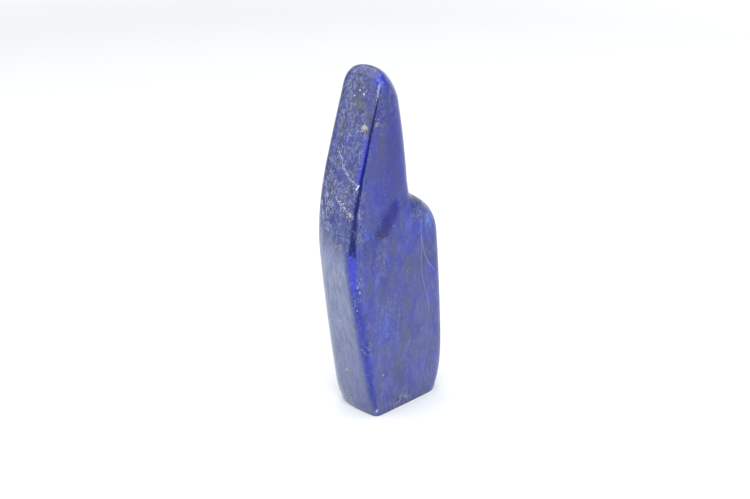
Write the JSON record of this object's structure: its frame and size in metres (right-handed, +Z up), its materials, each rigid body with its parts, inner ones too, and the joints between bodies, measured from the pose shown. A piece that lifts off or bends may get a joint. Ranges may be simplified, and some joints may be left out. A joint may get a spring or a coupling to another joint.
{
  "type": "polished lapis lazuli freeform tower",
  "caption": "Standing polished lapis lazuli stone with a flat sawn base, a broad ground face, a leaning narrow side and a stepped shoulder under a rounded tip.",
  "frame": {"origin": "centre of the footprint box, at the height of the sawn base", "axes": "+Z up the stone from the sawn base to the tip, -Y out of the broad front face, -X out of the narrow left side"},
  "size_m": [0.0584, 0.0322, 0.1481],
  "materials": {
    "lapis": "polished, with pyrite specks and pale veins"
  },
  "bodies": {
    "root": {"stone": "lapis"}
  },
  "joints": []
}
